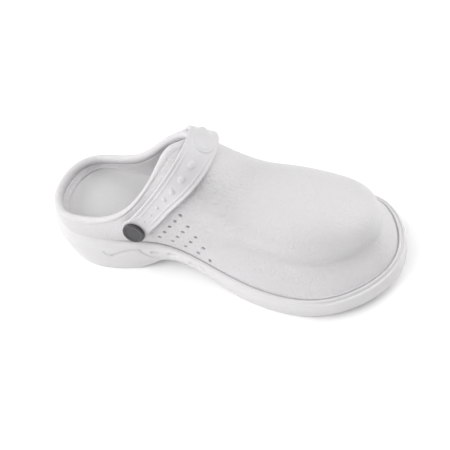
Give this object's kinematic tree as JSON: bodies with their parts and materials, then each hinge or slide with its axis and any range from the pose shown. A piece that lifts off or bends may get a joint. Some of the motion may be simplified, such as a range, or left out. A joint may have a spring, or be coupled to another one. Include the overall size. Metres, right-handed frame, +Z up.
{
  "type": "chef clog",
  "caption": "Closed-toe moulded foam work clog for the left foot, with vented sides, raised heel, cupped footbed and a heel strap folded forward over the instep on two rivets.",
  "frame": {"origin": "centre of the shoe's bounding box, on the plane that the sole stands on", "axes": "+X from heel to toe, +Y from the inner side of the foot to the outer side, +Z up"},
  "size_m": [0.275, 0.1044, 0.1119],
  "materials": {
    "foam_upper": "white moulded foam, fine leather-like grain, satin",
    "foam_sole": "white moulded foam, smooth satin sides",
    "foam_insole": "white moulded foam, matte",
    "foam_strap": "white moulded foam, smooth satin",
    "dark_plastic": "dark grey plastic, satin"
  },
  "bodies": {
    "root": {"upper": "foam_upper", "sole": "foam_sole", "insole": "foam_insole", "heel_strap": "foam_strap", "rivet_cap_medial": "dark_plastic", "rivet_cap_lateral": "dark_plastic", "rivet_back_medial": "dark_plastic", "rivet_back_lateral": "dark_plastic"}
  },
  "joints": []
}
